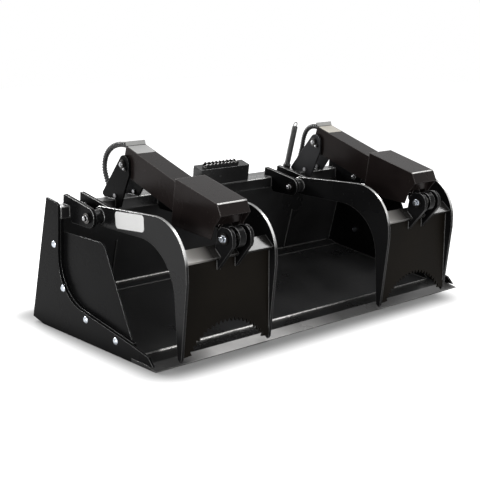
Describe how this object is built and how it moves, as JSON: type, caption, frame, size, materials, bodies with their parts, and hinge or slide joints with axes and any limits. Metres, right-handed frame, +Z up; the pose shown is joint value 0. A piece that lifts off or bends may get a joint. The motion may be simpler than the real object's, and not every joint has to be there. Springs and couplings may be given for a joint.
{
  "type": "grapple bucket",
  "caption": "Wide loader bucket with hinged clamping grapples, each worked by a covered hydraulic cylinder, and a quick attach back.",
  "frame": {"origin": "middle of the footprint on the ground, between the front of the grapple's clevis ears and the rear of the latch flange", "axes": "+X to the picture's right end of the bucket, +Y back to the loader, +Z up"},
  "size_m": [1.8449, 1.0408, 0.7899],
  "materials": {
    "black_paint": "glossy black paint with bright worn edges",
    "cover_paint": "glossy black paint, slightly warm",
    "worn_blade": "black paint, thin on the bevel",
    "zinc_steel": "bright zinc plate",
    "pin_steel": "dark oiled steel, bright where it rubs",
    "spring_steel": "dull grey spring wire",
    "chromed_rod": "polished hard chrome",
    "piston_iron": "machined",
    "hose_rubber": "ribbed black rubber"
  },
  "bodies": {
    "bucket": {"bucket_shell": "black_paint", "cutting_edge": "worn_blade", "top_lip": "black_paint", "side_bolts": "zinc_steel", "hinge_ears": "black_paint", "hinge_pins": "pin_steel", "tower_bolts": "zinc_steel", "step_box": "black_paint", "step_tread": "black_paint", "attach_plate": "black_paint", "attach_hook": "black_paint", "attach_foot": "black_paint", "floor_runners": "black_paint", "hose_guide": "spring_steel", "hose_guide_socket": "black_paint", "hose_bulkheads": "zinc_steel", "left_side_plate": "black_paint", "left_side_filler": "black_paint", "left_side_panel": "black_paint", "left_tower": "black_paint", "left_tower_pin": "pin_steel", "left_hose": "hose_rubber", "right_side_plate": "black_paint", "right_side_filler": "black_paint", "right_side_panel": "black_paint", "right_tower": "black_paint", "right_tower_pin": "pin_steel", "right_hose": "hose_rubber"},
    "left_grapple": {"left_grapple_arm_a": "black_paint", "left_grapple_arm_b": "black_paint", "left_hinge_hubs": "black_paint", "left_cross_bar": "black_paint", "left_grapple_plate": "black_paint", "left_clevis_ears": "black_paint", "left_clevis_pin": "pin_steel", "left_clevis_spacers": "pin_steel"},
    "left_barrel": {"left_cylinder_barrel": "black_paint", "left_cylinder_gland": "black_paint", "left_port_elbow": "zinc_steel", "left_upper_cover": "cover_paint"},
    "left_rod": {"left_piston": "piston_iron", "left_piston_rod": "chromed_rod", "left_rod_eye": "black_paint", "left_lower_cover": "cover_paint"},
    "right_grapple": {"right_grapple_arm_a": "black_paint", "right_grapple_arm_b": "black_paint", "right_hinge_hubs": "black_paint", "right_cross_bar": "black_paint", "right_grapple_plate": "black_paint", "right_clevis_ears": "black_paint", "right_clevis_pin": "pin_steel", "right_clevis_spacers": "pin_steel"},
    "right_barrel": {"right_cylinder_barrel": "black_paint", "right_cylinder_gland": "black_paint", "right_port_elbow": "zinc_steel", "right_upper_cover": "cover_paint"},
    "right_rod": {"right_piston": "piston_iron", "right_piston_rod": "chromed_rod", "right_rod_eye": "black_paint", "right_lower_cover": "cover_paint"}
  },
  "joints": [
    {"name": "left_grapple_hinge", "type": "hinge", "parent": "bucket", "child": "left_grapple", "pos_m": [-0.5695, 0.09962, 0.506], "axis": [-1, 0, 0], "range_deg": [0, 60]},
    {"name": "left_barrel_pivot", "type": "hinge", "parent": "bucket", "child": "left_barrel", "pos_m": [-0.5695, 0.17362, 0.695], "axis": [-1, 0, 0], "range_deg": [0, 55], "deforming": ["left_hose"]},
    {"name": "left_rod_slide", "type": "slide", "parent": "left_barrel", "child": "left_rod", "axis": [0, -0.9504, -0.311], "range_m": [-0.2, 0]},
    {"name": "right_grapple_hinge", "type": "hinge", "parent": "bucket", "child": "right_grapple", "pos_m": [0.5695, 0.09962, 0.506], "axis": [-1, 0, 0], "range_deg": [0, 60]},
    {"name": "right_barrel_pivot", "type": "hinge", "parent": "bucket", "child": "right_barrel", "pos_m": [0.5695, 0.17362, 0.695], "axis": [-1, 0, 0], "range_deg": [0, 55], "deforming": ["right_hose"]},
    {"name": "right_rod_slide", "type": "slide", "parent": "right_barrel", "child": "right_rod", "axis": [0, -0.9504, -0.311], "range_m": [-0.2, 0]}
  ],
  "couplings": [
    {"joint": "left_barrel_pivot", "follows": "left_grapple_hinge", "ratio": 0.905},
    {"joint": "left_rod_slide", "follows": "left_grapple_hinge", "m_per_rad": -0.1865},
    {"joint": "right_barrel_pivot", "follows": "right_grapple_hinge", "ratio": 0.905},
    {"joint": "right_rod_slide", "follows": "right_grapple_hinge", "m_per_rad": -0.1865}
  ]
}
